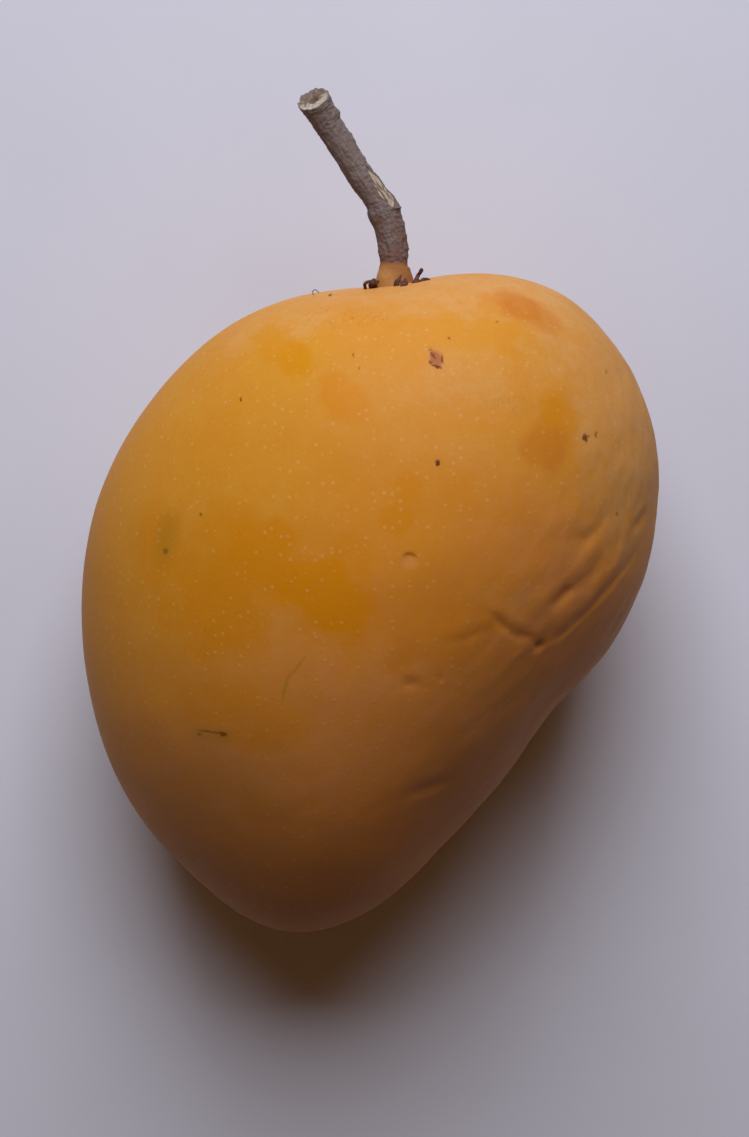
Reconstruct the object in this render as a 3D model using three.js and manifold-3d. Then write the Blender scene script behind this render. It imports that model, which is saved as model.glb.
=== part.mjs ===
// A ripe mango lying on one of its flat cheeks, with a length of its woody stalk still on.
// Units are millimetres. X runs across the fruit, Y towards the stalk and Z up from the surface it lies on.
// The fruit is worked out about its own centre, on the rim plane halfway between its two cheeks.

import * as THREE from "three";
import { mergeVertices } from "three/addons/utils/BufferGeometryUtils.js";
import Module from "manifold-3d";

const wasm = await Module();
wasm.setup();

const { degToRad, lerp, smoothstep } = THREE.MathUtils;

// Fruit, seen from above: control radii of its rim every 15 degrees anticlockwise from +X.
// The full shoulder is beside the stalk at 40 to 60, the narrow tip at 260, the belly at 300 to 340.
const RIM_RADII = [
  42.2, 46.7, 52.5, 55.9, 57.9, 53.1, 48.7, 49.4, 48.5, 46.9, 46.2, 46.0,
  45.8, 46.8, 48.9, 51.3, 53.1, 57.2, 50.9, 41.1, 37.0, 34.1, 33.5, 37.7,
];

// The narrow tip hangs towards the surface it lies on, so the rim sinks there by this much.
const RIM_DROOP = 10.0;
const RIM_DROOP_SIDE = degToRad(262);

// Fruit, seen from the side: near the middle of each cheek its level lines settle to one plain oval.
// The lower cheek's middle is under the fruit's centre of mass.
const CHEEK_HALF_LENGTH = 53.0;
const CHEEK_HALF_WIDTH = 39.2;
const CHEEK_TURN = degToRad(62);
const UPPER_CHEEK = { height: 36.0, shift: new THREE.Vector2(3.2, 8.3) };
const LOWER_CHEEK = { height: -35.6, shift: new THREE.Vector2(-1.0, 3.5) };

// How square the fruit's upright sections are: 2 is an ellipse, and the back by the stalk is fuller than the belly.
const FULLNESS = 2.1;
const FULLNESS_SWING = 0.14;
const FULLNESS_TURN = degToRad(125);

// The cheek it lies on is pressed flat by this much.
const REST_FLAT = 0.8;

// The skin is a geodesic ball whose points are drawn towards the wrinkled belly, where they are needed.
const SKIN_DETAIL = 20;
const SKIN_CROWDING = 0.42;
const SKIN_CROWDED_SIDE = onBall(-8, 46);

// Folds of the shrinking skin: [longitude, latitude] points in degrees, depth and half width in millimetres.
const FOLDS = [
  { at: [[337, 46], [343, 44], [349, 40], [355, 37], [0, 33], [5, 29], [10, 24]], depth: 1.1, width: 1.9 },
  { at: [[350, 49], [355, 47], [359, 45], [4, 42], [9, 38]], depth: 0.8, width: 1.8 },
  { at: [[334, 64], [333, 59], [335, 54], [336, 50]], depth: 0.8, width: 1.7 },
  { at: [[304, 68], [312, 67], [320, 64], [327, 63]], depth: 0.5, width: 1.8 },
  { at: [[10, 50], [11, 46], [14, 41], [18, 39]], depth: 0.7, width: 2.0 },
  { at: [[14, 28], [16, 22], [18, 19]], depth: 0.7, width: 1.8 },
  { at: [[278, 44], [283, 43], [291, 39]], depth: 0.9, width: 1.9 },
];
const FOLD_SHOULDER = 1.2;
const FOLD_SAMPLES = 14;

// The skin dips a little round the foot of the stalk.
const SEAT_DEPTH = 0.6;
const SEAT_RADIUS = 5.5;

// Stalk, from the root inside the fruit to the cut end: [x, y, z] of its centre and its radius.
const STALK_STATIONS = [
  { at: [4.3, 45.8, 7.6], radius: 2.0 },
  { at: [4.05, 48.3, 7.9], radius: 2.4 },
  { at: [3.8, 50.2, 8.1], radius: 2.85 },
  { at: [3.7, 51.6, 8.2], radius: 2.35 },
  { at: [3.7, 52.6, 8.3], radius: 2.1 },
  { at: [3.65, 54.1, 8.5], radius: 2.15 },
  { at: [3.35, 56.1, 8.7], radius: 2.2 },
  { at: [2.8, 58.4, 8.9], radius: 2.25 },
  { at: [2.15, 60.1, 9.0], radius: 2.4 },
  { at: [1.7, 61.7, 9.1], radius: 2.35 },
  { at: [0.15, 63.9, 9.4], radius: 2.1 },
  { at: [-1.7, 66.2, 9.8], radius: 2.0 },
  { at: [-2.95, 68.0, 10.2], radius: 1.95 },
  { at: [-5.8, 72.5, 11.2], radius: 2.05 },
  { at: [-7.05, 74.4, 11.8], radius: 2.15 },
  { at: [-8.75, 77.35, 12.8], radius: 2.6 },
];
const STALK_RINGS = 60;
const STALK_SIDES = 20;

// Lumps of the bark: place along the stalk from 0 to 1, angle in degrees from +X towards +Z, height and size.
const KNOBS = [
  { along: 0.2, angle: 0, height: 0.25, length: 0.03, spread: 50 },
  { along: 0.35, angle: 0, height: 0.35, length: 0.03, spread: 45 },
  { along: 0.44, angle: 10, height: 0.45, length: 0.035, spread: 45 },
  { along: 0.56, angle: 5, height: 0.45, length: 0.035, spread: 50 },
  { along: 0.78, angle: -5, height: 0.3, length: 0.025, spread: 40 },
  { along: 0.83, angle: 0, height: 0.3, length: 0.025, spread: 40 },
  { along: 0.925, angle: 0, height: 0.5, length: 0.026, spread: 45 },
  { along: 0.54, angle: 175, height: 0.15, length: 0.02, spread: 50 },
  { along: 0.33, angle: 180, height: 0.2, length: 0.05, spread: 50 },
  { along: 0.4, angle: 250, height: 0.3, length: 0.03, spread: 50 },
  { along: 0.7, angle: 215, height: 0.25, length: 0.03, spread: 50 },
];
const BARK_RIDGES = 7;
const BARK_RIDGE_HEIGHT = 0.07;

// A side twig was torn off at the bend and left a flat strip of bare wood.
const TEAR = { from: 0.56, to: 0.77, angle: degToRad(46), depth: 0.4 };

// The cut end slants towards the sky and is longer on its right, its rim is ragged and its pith is sunk.
const CUT_SLANT = 0.36;
const CUT_TILT = 0.45;
const CUT_RAGGED = 0.2;
const PITH_DEPTH = 0.5;

// Dry remains of the flower round the foot: [x, y, z] of the root, the way each points, length and half width.
const SCALES = [
  { root: [1.6, 50.3, 9.6], points: [-0.9, 0.12, 0.35], length: 2.3, width: 0.8 },
  { root: [4.1, 50.4, 10.3], points: [-0.4, 0.6, 0.7], length: 1.8, width: 0.6 },
  { root: [5.0, 50.4, 10.2], points: [0.5, 0.6, 0.65], length: 1.8, width: 0.6 },
  { root: [6.0, 50.5, 8.8], points: [0.85, 0.3, 0.2], length: 2.6, width: 0.6 },
  { root: [6.3, 50.6, 8.9], points: [0.45, 0.85, 0.25], length: 2.6, width: 0.42 },
];
const SCALE_ROOT = 0.8;
const SCALE_SIDES = 5;
const SCALE_FLATNESS = 0.55;

// Two pieces that meet keep this gap.
const CLEARANCE = 0.3;

const SKIN_COLOUR = 0xd8973a;
const BARK_COLOUR = 0x5f4b44;

// A point of the unit ball.
function onBall(longitude, latitude) {
  const lon = degToRad(longitude);
  const lat = degToRad(latitude);
  return new THREE.Vector3(Math.cos(lat) * Math.cos(lon), Math.cos(lat) * Math.sin(lon), Math.sin(lat));
}

// The rim's radius at an angle: a closed cubic B-spline on the control radii.
function rimRadius(angle) {
  const count = RIM_RADII.length;
  const place = THREE.MathUtils.euclideanModulo(angle / (2 * Math.PI), 1) * count;
  const first = Math.floor(place);
  const f = place - first;
  const control = (step) => RIM_RADII[(first + step + count) % count];
  return (
    (1 - f) ** 3 * control(-1) +
    (3 * f ** 3 - 6 * f ** 2 + 4) * control(0) +
    (-3 * f ** 3 + 3 * f ** 2 + 3 * f + 1) * control(1) +
    f ** 3 * control(2)
  ) / 6;
}

// The rim's height at an angle.
function rimHeight(angle) {
  return -RIM_DROOP * (0.5 + 0.5 * Math.cos(angle - RIM_DROOP_SIDE)) ** 1.5;
}

// The radius of the oval that the level lines settle to.
function cheekRadius(angle) {
  const along = CHEEK_HALF_WIDTH * Math.cos(angle - CHEEK_TURN);
  const across = CHEEK_HALF_LENGTH * Math.sin(angle - CHEEK_TURN);
  return (CHEEK_HALF_LENGTH * CHEEK_HALF_WIDTH) / Math.hypot(along, across);
}

// The smooth skin's point in a direction of the unit ball.
function skinPoint(direction) {
  const angle = Math.atan2(direction.y, direction.x);
  const spread = Math.min(1, Math.hypot(direction.x, direction.y));
  const power = 2 / (FULLNESS + FULLNESS_SWING * Math.cos(angle - FULLNESS_TURN));
  const rise = Math.abs(direction.z) ** power;
  const radius = lerp(cheekRadius(angle), rimRadius(angle), spread ** 2) * spread ** power;
  const cheek = direction.z > 0 ? UPPER_CHEEK : LOWER_CHEEK;
  return new THREE.Vector3(
    radius * Math.cos(angle) + cheek.shift.x * rise ** 2,
    radius * Math.sin(angle) + cheek.shift.y * rise ** 2,
    lerp(rimHeight(angle), cheek.height, rise),
  );
}

// A fold's bottom as points on the smooth skin.
function foldLine(fold) {
  const degrees = new THREE.CatmullRomCurve3(fold.at.map(([lon, lat]) => new THREE.Vector3(unwrap(lon), lat, 0)));
  return degrees.getPoints(FOLD_SAMPLES).map((p) => skinPoint(onBall(p.x, p.y)));
}

// Longitudes past the back count down from 0, so that a fold can cross +X.
function unwrap(longitude) {
  return longitude > 180 ? longitude - 360 : longitude;
}

// How far a point is from a line of points, and how far along the line that is, from 0 to 1.
function nearestOn(line, point) {
  let best = { distance: Infinity, along: 0 };
  const closest = new THREE.Vector3();
  for (let i = 0; i + 1 < line.length; i++) {
    const segment = new THREE.Line3(line[i], line[i + 1]);
    const share = segment.closestPointToPointParameter(point, true);
    const distance = segment.at(share, closest).distanceTo(point);
    if (distance < best.distance) best = { distance, along: (i + share) / (line.length - 1) };
  }
  return best;
}

// How much the folds raise the skin at a point: a groove with a low roll on each side, shallow at both ends.
function foldRelief(lines, point) {
  let relief = 0;
  FOLDS.forEach((fold, i) => {
    const { distance, along } = nearestOn(lines[i], point);
    const across = (distance / fold.width) ** 2;
    const fade = Math.sqrt(Math.sin(Math.PI * lerp(0.06, 0.94, along)));
    relief -= fold.depth * fade * (1 - FOLD_SHOULDER * across) * Math.exp(-across);
  });
  return relief;
}

// A geodesic ball with shared vertices, its points drawn towards one side.
function crowdedBall() {
  const ball = new THREE.IcosahedronGeometry(1, SKIN_DETAIL);
  ball.deleteAttribute("normal");
  ball.deleteAttribute("uv");
  const merged = mergeVertices(ball);
  const position = merged.attributes.position;
  const point = new THREE.Vector3();
  for (let i = 0; i < position.count; i++) {
    point.fromBufferAttribute(position, i).addScaledVector(SKIN_CROWDED_SIDE, SKIN_CROWDING).normalize();
    position.setXYZ(i, point.x, point.y, point.z);
  }
  return merged;
}

// The whole skin with its folds, its seat for the stalk and the flat that it lies on.
function skinGeometry() {
  const geometry = crowdedBall();
  const position = geometry.attributes.position;
  const point = new THREE.Vector3();
  for (let i = 0; i < position.count; i++) {
    const skin = skinPoint(point.fromBufferAttribute(position, i));
    position.setXYZ(i, skin.x, skin.y, skin.z);
  }
  geometry.computeVertexNormals();
  const normals = geometry.attributes.normal;
  const normal = new THREE.Vector3();
  const lines = FOLDS.map(foldLine);
  const seat = new THREE.Vector3(...STALK_STATIONS[2].at);
  const floor = LOWER_CHEEK.height + REST_FLAT;
  for (let i = 0; i < position.count; i++) {
    point.fromBufferAttribute(position, i);
    normal.fromBufferAttribute(normals, i);
    const dip = SEAT_DEPTH * Math.exp(-((point.distanceTo(seat) / SEAT_RADIUS) ** 2));
    point.addScaledVector(normal, foldRelief(lines, point) - dip);
    position.setXYZ(i, point.x, point.y, Math.max(point.z, floor));
  }
  geometry.deleteAttribute("normal");
  return geometry;
}

// The stalk's radius at a place along it and an angle round it.
function stalkRadius(along, angle, radii) {
  const place = along * (radii.length - 1);
  const first = Math.min(Math.floor(place), radii.length - 2);
  let radius = lerp(radii[first], radii[first + 1], smoothstep(place - first, 0, 1));
  radius += BARK_RIDGE_HEIGHT * Math.sin(BARK_RIDGES * angle + 9 * along);
  for (const knob of KNOBS) {
    const turn = Math.atan2(Math.sin(angle - degToRad(knob.angle)), Math.cos(angle - degToRad(knob.angle)));
    const away = ((along - knob.along) / knob.length) ** 2 + (turn / degToRad(knob.spread)) ** 2;
    radius += knob.height * Math.exp(-away);
  }
  const facing = Math.cos(angle - TEAR.angle);
  if (along > TEAR.from && along < TEAR.to && facing > 0.2) {
    const ends = Math.sin((Math.PI * (along - TEAR.from)) / (TEAR.to - TEAR.from)) ** 0.3;
    radius = Math.min(radius, (radius - TEAR.depth * ends) / facing);
  }
  return radius;
}

// How far the cut's rim reaches past the last station.
function cutLength(angle) {
  return CUT_RAGGED * Math.sin(5 * angle) + CUT_TILT * Math.cos(angle) - CUT_SLANT * Math.sin(angle);
}

// A closed tube along the stations. Its first ring is inside the fruit and its last is the ragged cut.
function stalkGeometry(extra) {
  const centres = STALK_STATIONS.map((station) => new THREE.Vector3(...station.at));
  const radii = STALK_STATIONS.map((station) => station.radius);
  const path = new THREE.CatmullRomCurve3(centres);
  const points = [];
  for (let ring = 0; ring <= STALK_RINGS; ring++) {
    const along = ring / STALK_RINGS;
    const centre = path.getPoint(along);
    const tangent = path.getTangent(along);
    const right = new THREE.Vector3().crossVectors(tangent, new THREE.Vector3(0, 0, 1)).normalize();
    const up = new THREE.Vector3().crossVectors(right, tangent);
    for (let side = 0; side < STALK_SIDES; side++) {
      const angle = (2 * Math.PI * side) / STALK_SIDES;
      const radius = stalkRadius(along, angle, radii) + extra;
      const point = centre.clone();
      point.addScaledVector(right, radius * Math.cos(angle)).addScaledVector(up, radius * Math.sin(angle));
      if (ring === STALK_RINGS) point.addScaledVector(tangent, cutLength(angle));
      points.push(point);
    }
  }
  const rootTangent = path.getTangent(0);
  const cutTangent = path.getTangent(1);
  points.push(centres[0].clone().addScaledVector(rootTangent, -extra - PITH_DEPTH));
  points.push(centres.at(-1).clone().addScaledVector(cutTangent, -PITH_DEPTH));
  return new THREE.BufferGeometry().setFromPoints(points).setIndex(tubeFaces());
}

// The faces of a tube whose last two points close its two ends.
function tubeFaces() {
  const faces = [];
  const corner = (ring, side) => ring * STALK_SIDES + (side % STALK_SIDES);
  const root = (STALK_RINGS + 1) * STALK_SIDES;
  for (let side = 0; side < STALK_SIDES; side++) {
    for (let ring = 0; ring < STALK_RINGS; ring++) {
      faces.push(corner(ring, side), corner(ring + 1, side + 1), corner(ring, side + 1));
      faces.push(corner(ring, side), corner(ring + 1, side), corner(ring + 1, side + 1));
    }
    faces.push(root, corner(0, side), corner(0, side + 1));
    faces.push(root + 1, corner(STALK_RINGS, side + 1), corner(STALK_RINGS, side));
  }
  return faces;
}

// One dry scale: a flat pointed cone whose root is sunk in the foot.
function scaleGeometry(scale, extra) {
  const length = scale.length + SCALE_ROOT + 2 * extra;
  const cone = new THREE.ConeGeometry(scale.width + extra, length, SCALE_SIDES);
  cone.deleteAttribute("normal");
  cone.deleteAttribute("uv");
  const towards = new THREE.Vector3(...scale.points).normalize();
  const turn = new THREE.Quaternion().setFromUnitVectors(new THREE.Vector3(0, 1, 0), towards);
  cone.scale(1, 1, SCALE_FLATNESS);
  cone.translate(0, length / 2 - SCALE_ROOT - extra, 0);
  cone.applyQuaternion(turn);
  cone.translate(...scale.root);
  return mergeVertices(cone);
}

function solidFrom(geometry) {
  return new wasm.Manifold(
    new wasm.Mesh({
      numProp: 3,
      vertProperties: new Float32Array(geometry.attributes.position.array),
      triVerts: new Uint32Array(geometry.index.array),
    }),
  );
}

function geometryFrom(solid) {
  const mesh = solid.getMesh();
  const geometry = new THREE.BufferGeometry();
  geometry.setAttribute("position", new THREE.BufferAttribute(mesh.vertProperties, 3));
  geometry.setIndex(new THREE.BufferAttribute(mesh.triVerts, 1));
  geometry.computeVertexNormals();
  return geometry;
}

// The stalk with the scales grown on its foot, larger all round by a clearance where it cuts its own seat.
function stalkSolid(extra) {
  return SCALES.reduce(
    (solid, scale) => solid.add(solidFrom(scaleGeometry(scale, extra))),
    solidFrom(stalkGeometry(extra)),
  );
}

function fruit() {
  const solid = solidFrom(skinGeometry()).subtract(stalkSolid(CLEARANCE));
  const material = new THREE.MeshStandardMaterial({ color: SKIN_COLOUR, roughness: 0.55, metalness: 0 });
  const mesh = new THREE.Mesh(geometryFrom(solid), material);
  mesh.name = "fruit";
  return mesh;
}

function stalk() {
  const material = new THREE.MeshStandardMaterial({ color: BARK_COLOUR, roughness: 0.9, metalness: 0 });
  const mesh = new THREE.Mesh(geometryFrom(stalkSolid(0)), material);
  mesh.name = "stalk";
  return mesh;
}

const mango = new THREE.Group();
mango.add(fruit(), stalk());

// The origin is the middle of the underside of the box round the whole object.
const box = new THREE.Box3().setFromObject(mango);
const middle = box.getCenter(new THREE.Vector3());
mango.position.set(-middle.x, -middle.y, -box.min.z);

export default mango;
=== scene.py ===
"""A ripe mango lying on one of its flat cheeks, with a length of its woody stalk still on.

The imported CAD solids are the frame. The skin and the stalk are worked out again here, by the same
formulas as the solids and on finer meshes, so that folds, dents and bark are real shapes.
Lengths are in millimetres about the fruit's own centre, and turn into metres as a mesh is made.
Places on the fruit are given where the photograph shows them, in its 749 x 1137 pixels.
"""

import math

import bpy
import numpy as np
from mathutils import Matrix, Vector, noise
from mathutils.bvhtree import BVHTree


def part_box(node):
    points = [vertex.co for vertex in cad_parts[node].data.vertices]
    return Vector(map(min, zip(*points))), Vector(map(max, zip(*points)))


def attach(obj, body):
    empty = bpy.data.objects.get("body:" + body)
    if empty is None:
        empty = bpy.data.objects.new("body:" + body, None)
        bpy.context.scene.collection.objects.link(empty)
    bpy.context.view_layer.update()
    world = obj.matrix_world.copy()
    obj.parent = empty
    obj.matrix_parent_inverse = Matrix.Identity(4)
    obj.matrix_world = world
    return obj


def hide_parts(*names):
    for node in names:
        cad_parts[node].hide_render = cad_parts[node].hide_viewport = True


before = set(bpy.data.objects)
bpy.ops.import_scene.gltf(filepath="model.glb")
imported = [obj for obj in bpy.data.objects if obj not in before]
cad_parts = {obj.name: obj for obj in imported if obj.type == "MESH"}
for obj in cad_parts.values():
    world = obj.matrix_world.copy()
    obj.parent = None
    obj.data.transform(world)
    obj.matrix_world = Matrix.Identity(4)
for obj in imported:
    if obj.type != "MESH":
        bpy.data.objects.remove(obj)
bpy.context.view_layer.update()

MM = 0.001
SEED_SHIFT = Vector((17.3, -4.1, 8.6))

# The photograph is taken to be from straight above. In turn: its size, its middle pixel, the point of the
# fruit's rim plane under that pixel, the camera's height over that plane, pixels to a millimetre there,
# and the width of the camera's sensor.
PICTURE = (749, 1137)
PICTURE_MIDDLE = (374.5, 568.5)
UNDER_CAMERA = (0.71, 5.0)
CAMERA_HEIGHT = 420.0
PIXELS_PER_MM = 6.3
SENSOR = 36.0

# One soft light stands beyond the stalk end, and the room adds a little from all round.
WINDOW_PLACE = (-8.0, 530.0, 488.0)
WINDOW_AIM = (0.0, 10.0, -10.0)
WINDOW_SIZE = (0.49, 0.64)
WINDOW_POWER = 5.6
WINDOW_TINT = (0.985, 0.99, 1.02)
ROOM_LIGHT = 0.105
HORIZON_LIGHT = 0.012
ROOM_FADE = (0.05, 0.95)
ROOM_TINT = (1.0, 0.47, 0.19)

# The fruit's shape, as in the CAD source.
RIM_RADII = np.array(
    [
        *(42.2, 46.7, 52.5, 55.9, 57.9, 53.1, 48.7, 49.4, 48.5, 46.9, 46.2, 46.0),
        *(45.8, 46.8, 48.9, 51.3, 53.1, 57.2, 50.9, 41.1, 37.0, 34.1, 33.5, 37.7),
    ]
)
RIM_DROOP = 10.0
RIM_DROOP_SIDE = math.radians(262)
CHEEK_HALF_LENGTH = 53.0
CHEEK_HALF_WIDTH = 39.2
CHEEK_TURN = math.radians(62)
UPPER_HEIGHT = 36.0
UPPER_SHIFT = (3.2, 8.3)
LOWER_HEIGHT = -35.6
LOWER_SHIFT = (-1.0, 3.5)
FULLNESS = 2.1
FULLNESS_SWING = 0.14
FULLNESS_TURN = math.radians(125)
REST_FLAT = 0.8
SEAT_DEPTH = 0.6
SEAT_RADIUS = 5.5

# The fine skin is a cube blown up to a ball, with its points drawn towards the wrinkled belly.
SKIN_STEPS = 124
SKIN_CROWDING = 0.58
SKIN_CROWDED_SIDE = (0.64, -0.11, 0.76)

# Folds of the shrinking skin, each path from left to right in the photograph. A fold sinks by its depth
# over the fall on its upper side and comes back over the rise below. Only the share "back" of the depth
# comes back at once. A ridge lifts the skin broadly on both sides of the fold.
FOLDS = [
    dict(path=[(541, 647), (553, 641), (565, 633), (577, 622), (592, 608),
               (606, 591), (617, 577), (629, 564), (637, 549)],
         depth=0.4, fall=1.4, rise=0.55, back=0.6, ridge=0.2),
    dict(path=[(551, 611), (558, 602), (566, 594), (574, 586)],
         depth=0.25, fall=1.1, rise=1.0, back=0.8, ridge=0),
    dict(path=[(563, 599), (575, 588), (590, 573), (604, 558), (613, 546)],
         depth=0.2, fall=1.5, rise=1.4, back=0.8, ridge=0),
    dict(path=[(490, 613), (499, 621), (507, 629), (517, 635), (527, 638), (537, 645)],
         depth=0.25, fall=0.8, rise=0.7, back=0.8, ridge=0),
    dict(path=[(443, 644), (456, 641), (471, 636), (486, 630), (497, 624)],
         depth=0.08, fall=0.9, rise=0.8, back=0.8, ridge=0),
    dict(path=[(568, 537), (580, 539), (594, 535), (604, 522), (612, 507)],
         depth=0.19, fall=1.5, rise=1.3, back=0.8, ridge=0),
    dict(path=[(633, 530), (641, 521), (648, 511)],
         depth=0.3, fall=0.8, rise=0.9, back=0.8, ridge=0),
    dict(path=[(408, 796), (422, 791), (434, 787), (455, 780)],
         depth=0.26, fall=1.3, rise=1.2, back=0.7, ridge=0),
    dict(path=[(403, 685), (411, 683), (420, 684)],
         depth=0.16, fall=0.8, rise=1.0, back=0.9, ridge=0),
    dict(path=[(604, 640), (615, 625), (625, 607), (634, 588)],
         depth=0.14, fall=1.2, rise=1.2, back=0.7, ridge=0),
]
FOLD_SAMPLES = 24
FOLD_SETTLE = 5.0
RIDGE_REACH = 4.5
FOLD_REACH = 12.0

# The belly's side of the skin is lumpier. Lumps: size, height everywhere, further height on the belly, and
# stretch along the folds for those that have a grain.
BELLY_LEAN = 0.35
BELLY_START = 8.0
BELLY_WIDTH = 26.0
SKIN_LUMPS = [
    (9.0, 0.10, 0.12, None),
    (4.5, 0.02, 0.06, None),
    (2.4, 0.02, 0.09, 2.6),
    (0.9, 0.0, 0.025, 2.2),
]

# Round dents and pits: place, radius and depth; a tilted one is deep only on its upper side.
DENTS = [
    dict(at=(540, 646), radius=0.85, depth=0.4, tilted=False),
    dict(at=(410, 561), radius=1.3, depth=0.2, tilted=True),
    dict(at=(435, 358), radius=1.1, depth=0.12, tilted=False),
    dict(at=(441, 678), radius=0.5, depth=0.08, tilted=False),
    dict(at=(505, 628), radius=0.6, depth=0.05, tilted=False),
]

# Where a patch ends and how soft its edge is, in half sizes. The broad ones have a softer and evener edge.
# Under the rim all patches fade out, from a height and over a depth.
PATCH_EDGE = 0.98
PATCH_BLUR = 0.75
BROAD_BLUR = 1.3
BROAD_RAGGED = 0.4
UNDERSIDE_START = -2.0
UNDERSIDE_DEPTH = 24.0
UNDERSIDE_LOSS = 1.6


def oval(at, size, turn, strength):
    """A patch of the skin: its place, half sizes in millimetres, turn in degrees and strength."""
    return dict(at=at, size=size, turn=turn, strength=strength)


# Patches rubbed clear of bloom.
RUBBED = [
    oval((271, 343), (3.4, 2.8), -25, 0.8),
    oval((293, 357), (2.4, 3.4), 20, 0.9),
    oval((333, 388), (2.2, 2.6), -30, 0.75),
    oval((350, 405), (3.0, 3.4), -30, 0.85),
    oval((265, 555), (6.5, 6.0), -25, 0.8),
    oval((325, 595), (7.5, 6.0), -35, 0.95),
    oval((230, 530), (6.0, 5.0), 20, 0.5),
    oval((222, 600), (8.0, 8.0), 20, 0.7),
    oval((292, 573), (5.0, 4.0), 0, 0.9),
    oval((250, 718), (9.0, 5.0), -20, 0.45),
    oval((395, 560), (20.0, 16.0), -20, 0.45),
    oval((408, 488), (2.4, 3.0), -20, 0.8),
    oval((395, 518), (3.2, 2.4), 0, 0.8),
    oval((350, 560), (5.0, 4.0), 30, 0.7),
    oval((559, 414), (2.4, 3.4), 25, 0.55),
    oval((495, 305), (3.0, 1.6), -15, 0.5),
    oval((160, 545), (4.0, 6.0), 0, 0.5),
    oval((455, 415), (8.0, 3.0), 0, 0.25),
]

# Patches of deeper orange under the bloom.
ORANGE = [
    oval((546, 449), (3.8, 3.6), 30, 0.65),
    oval((520, 306), (4.2, 2.4), -25, 0.95),
    oval((542, 318), (3.6, 2.0), -40, 0.6),
    oval((430, 620), (10.0, 8.0), -30, 0.3),
]

# Thinner bloom over deeper orange: the lower half and the belly.
WARM = [
    oval((400, 770), (32.0, 28.0), 0, 0.8),
    oval((240, 800), (18.0, 12.0), -35, 0.8),
    oval((530, 595), (16.0, 14.0), -30, 0.95),
    oval((470, 520), (9.0, 9.0), 0, 0.35),
]

# Painted shade: the tip and the underside of the belly are darkened to a duller orange, where the fruit turns
# away from the light.
PAINTED_SHADE = [
    oval((275, 905), (26.0, 13.0), -5, 0.6),
    oval((230, 825), (18.0, 10.0), -35, 0.35),
    oval((492, 765), (20.0, 9.0), 50, 0.5),
    oval((590, 665), (12.0, 6.0), 50, 0.4),
]

# Yellower ground: the whole left side, and a streak on the right shoulder.
YELLOW = [
    oval((278, 352), (9.0, 8.0), -30, 1.0),
    oval((210, 470), (20.0, 30.0), -20, 0.8),
    oval((540, 356), (7.0, 2.0), -47, 0.8),
    oval((470, 330), (8.0, 4.0), -20, 0.5),
    oval((425, 545), (3.5, 2.5), 0, 0.5),
]

# Paler and pinker bloom: the top edge and the right side. Along the top edge it is also a painted sheen,
# where the light grazes the skin.
BLOOM_AND_SHEEN = [
    oval((430, 292), (28.0, 4.0), -3, 0.85),
    oval((290, 318), (12.0, 4.0), 25, 0.6),
    oval((618, 424), (8.0, 17.0), 6, 0.8),
    oval((578, 345), (9.0, 8.0), -40, 0.7),
    oval((200, 795), (9.0, 8.0), 0, 0.3),
    oval((500, 600), (6.0, 6.0), 0, 0.3),
    oval((480, 385), (10.0, 5.0), 0, 0.4),
]

# Hair cracks in the skin's surface.
CRAZED = [
    oval((345, 315), (6.5, 2.2), -5, 1.0),
    oval((520, 402), (7.0, 1.6), 0, 0.6),
]

# The stalk: [x, y, z] of its centre and its radius, from root to cut end. It follows the CAD source, but its
# foot is a little wider where it meets the skin.
STALK_STATIONS = np.array(
    [
        (4.3, 45.8, 7.6, 2.0),
        (4.05, 48.3, 7.9, 2.85),
        (3.8, 50.2, 8.1, 2.85),
        (3.7, 51.6, 8.2, 2.35),
        (3.7, 52.6, 8.3, 2.1),
        (3.65, 54.1, 8.5, 2.15),
        (3.35, 56.1, 8.7, 2.2),
        (2.8, 58.4, 8.9, 2.25),
        (2.15, 60.1, 9.0, 2.4),
        (1.7, 61.7, 9.1, 2.35),
        (0.15, 63.9, 9.4, 2.1),
        (-1.7, 66.2, 9.8, 2.0),
        (-2.95, 68.0, 10.2, 1.95),
        (-5.8, 72.5, 11.2, 2.05),
        (-7.05, 74.4, 11.8, 2.15),
        (-8.75, 77.35, 12.8, 2.6),
    ]
)
STALK_FOOT = 2
STALK_RINGS = 420
STALK_SIDES = 84
CUT_RINGS = 14

# Lumps of the bark: place along the stalk, angle from +X towards +Z, height, length and spread.
KNOBS = [
    (0.2, 0, 0.2, 0.03, 50),
    (0.31, 0, 0.16, 0.02, 40),
    (0.35, 0, 0.28, 0.02, 45),
    (0.4, 0, 0.3, 0.018, 40),
    (0.45, 10, 0.32, 0.02, 45),
    (0.49, 0, 0.16, 0.013, 40),
    (0.545, 5, 0.5, 0.03, 50),
    (0.63, 20, -0.35, 0.03, 45),
    (0.73, -5, 0.14, 0.015, 40),
    (0.78, -5, 0.3, 0.022, 40),
    (0.835, 0, 0.3, 0.022, 40),
    (0.87, 5, 0.14, 0.013, 40),
    (0.925, 0, 0.5, 0.024, 45),
    (0.33, 180, 0.2, 0.05, 50),
    (0.4, 250, 0.3, 0.03, 50),
    (0.7, 215, 0.25, 0.03, 50),
]
# A side twig was torn off at the bend. The bare strip turns round the stalk as it climbs to a point.
TEAR_FROM = 0.555
TEAR_TO = 0.765
TEAR_ANGLES = (math.radians(50), math.radians(42))
TEAR_HALF_WIDTH = math.radians(40)
TEAR_DEPTH = 0.36
SPLIT_ANGLE = math.radians(15)
SPLIT_HALF_WIDTH = math.radians(5)
SPLIT_DEPTH = 0.16
SPLIT_MIDDLE = 0.65
SPLIT_TURN = math.radians(10)
SPLIT_TURN_OVER = 0.1

# The bark begins at a length from the root and comes in over a fade. Its ridges, crust and blocks are lumps
# on a straight stalk: size and stretch along it.
BARK_START = 6.0
BARK_FADE = 1.6
BARK_RADIUS = 2.2
BARK_LUMPS = [(0.5, 5.0), (0.5, 0.9), (1.4, 1.1)]

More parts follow.
